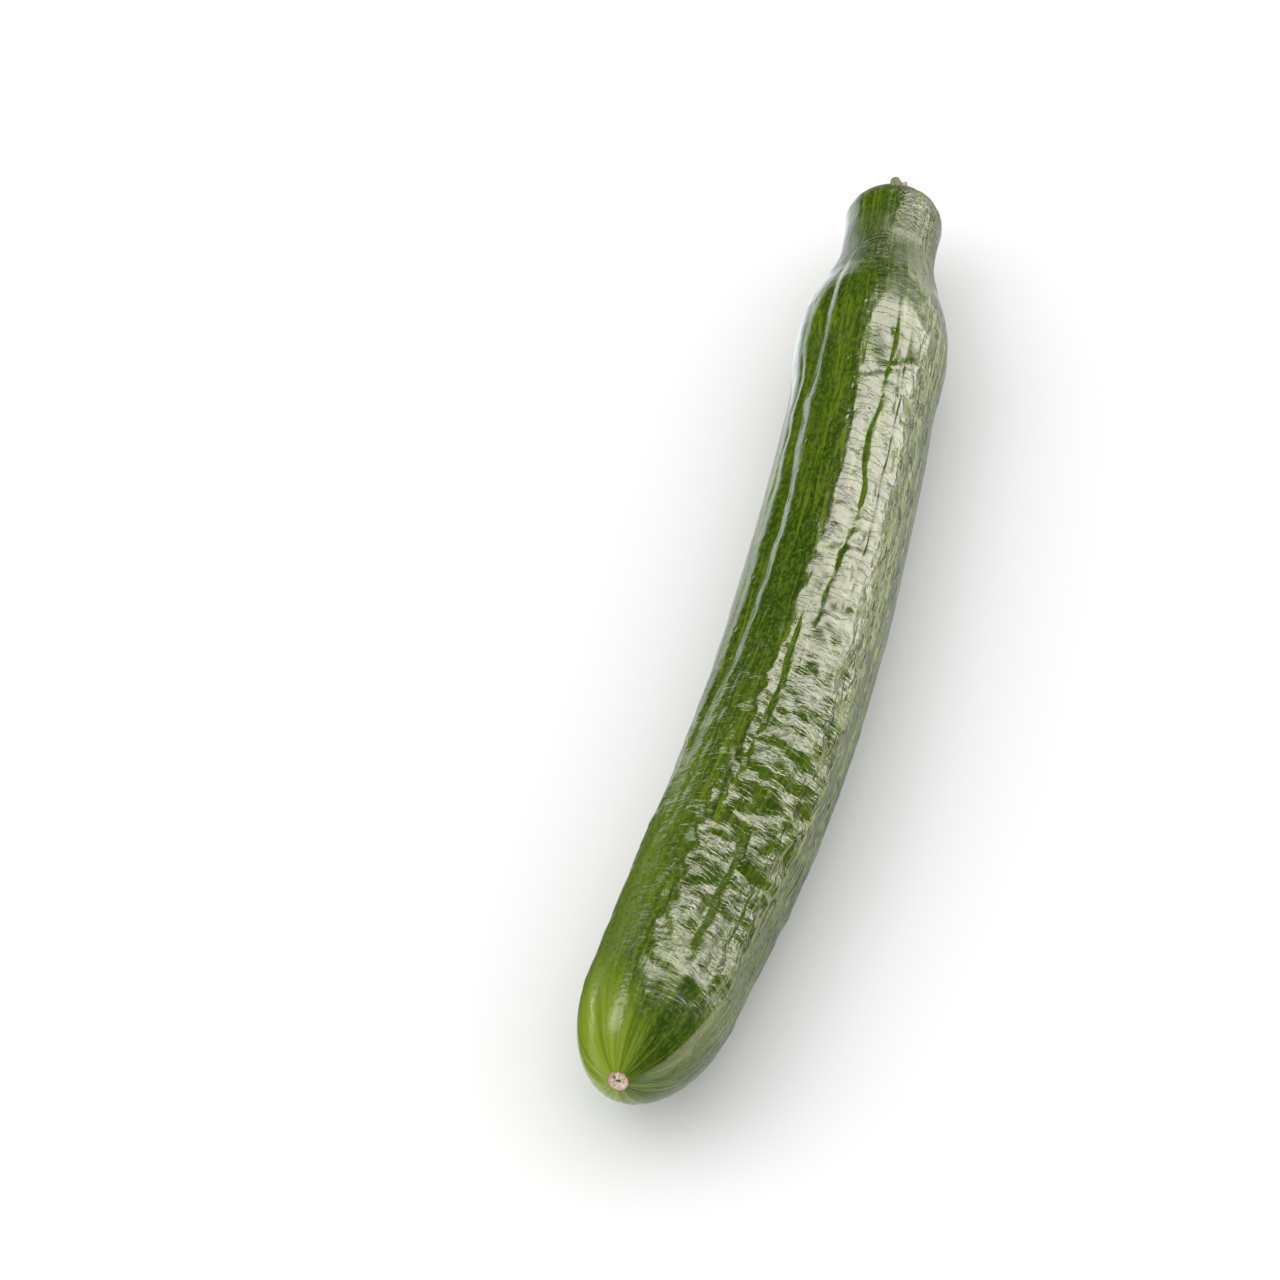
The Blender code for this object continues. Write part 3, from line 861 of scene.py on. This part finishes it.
class StageSettings(bpy.types.PropertyGroup):
    """The floor and the lights."""

    floor_colour: colour("Floor", "Colour of the floor", (0.86, 0.86, 0.86))
    key: brightness("Key softbox", "Brightness of the softbox behind", 11.3)
    far: brightness("Far panel", "Brightness of the panel beyond it", 1.1)
    side: brightness("Side softbox", "Brightness of the softbox beside", 5.5)
    strip: brightness("Low strip", "Brightness of the low strip beside the blossom half", 5.0)
    bounce: brightness("Bounce", "Brightness of the low bounce beside", 0.85)
    warm: brightness("Warm bounce", "Brightness of the warm low bounce", 2.1)
    soft: brightness("Diffuser", "Brightness of the broad light", 1.2)
    fill: brightness("Fill", "Brightness of the light from all round", 1.12)


# ---- operators ------------------------------------------------------------------------------
class CUCUMBER_OT_fruit(bpy.types.Operator):
    """Build the fruit with its ribbed and wrinkled rind"""

    bl_idname = "cucumber.fruit"
    bl_label = "Fruit"

    def execute(self, context):
        make_fruit(context.scene.cucumber_fruit)
        return {"FINISHED"}


class CUCUMBER_OT_trim(bpy.types.Operator):
    """Build the corky scar at the blossom end and the stub of the stalk"""

    bl_idname = "cucumber.trim"
    bl_label = "Scar and stalk"

    def execute(self, context):
        make_scar(context.scene.cucumber_trim)
        make_stalk(context.scene.cucumber_trim)
        return {"FINISHED"}


class CUCUMBER_OT_stage(bpy.types.Operator):
    """Add the floor, the lights, the world and the camera"""

    bl_idname = "cucumber.stage"
    bl_label = "Stage"

    def execute(self, context):
        make_stage(context.scene.cucumber_stage)
        return {"FINISHED"}


class CUCUMBER_PT_panel(bpy.types.Panel):
    """Lists the builders and their settings"""

    bl_label = "Cucumber"
    bl_space_type = "VIEW_3D"
    bl_region_type = "UI"
    bl_category = "Cucumber"

    def draw(self, context):
        for operator, group in (
            (CUCUMBER_OT_fruit, "cucumber_fruit"),
            (CUCUMBER_OT_trim, "cucumber_trim"),
            (CUCUMBER_OT_stage, "cucumber_stage"),
        ):
            box = self.layout.box()
            box.operator(operator.bl_idname)
            settings = getattr(context.scene, group)
            for name in settings.__annotations__:
                box.prop(settings, name)


CLASSES = (FruitSettings, TrimSettings, StageSettings, CUCUMBER_OT_fruit, CUCUMBER_OT_trim,
           CUCUMBER_OT_stage, CUCUMBER_PT_panel)


def register():
    for cls in CLASSES:
        bpy.utils.register_class(cls)
    bpy.types.Scene.cucumber_fruit = PointerProperty(type=FruitSettings)
    bpy.types.Scene.cucumber_trim = PointerProperty(type=TrimSettings)
    bpy.types.Scene.cucumber_stage = PointerProperty(type=StageSettings)


def unregister():
    for name in ("cucumber_fruit", "cucumber_trim", "cucumber_stage"):
        delattr(bpy.types.Scene, name)
    for cls in reversed(CLASSES):
        bpy.utils.unregister_class(cls)


def main():
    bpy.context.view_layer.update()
    register()
    bpy.ops.cucumber.fruit()
    bpy.ops.cucumber.trim()
    bpy.ops.cucumber.stage()


if __name__ == "__main__":
    main()
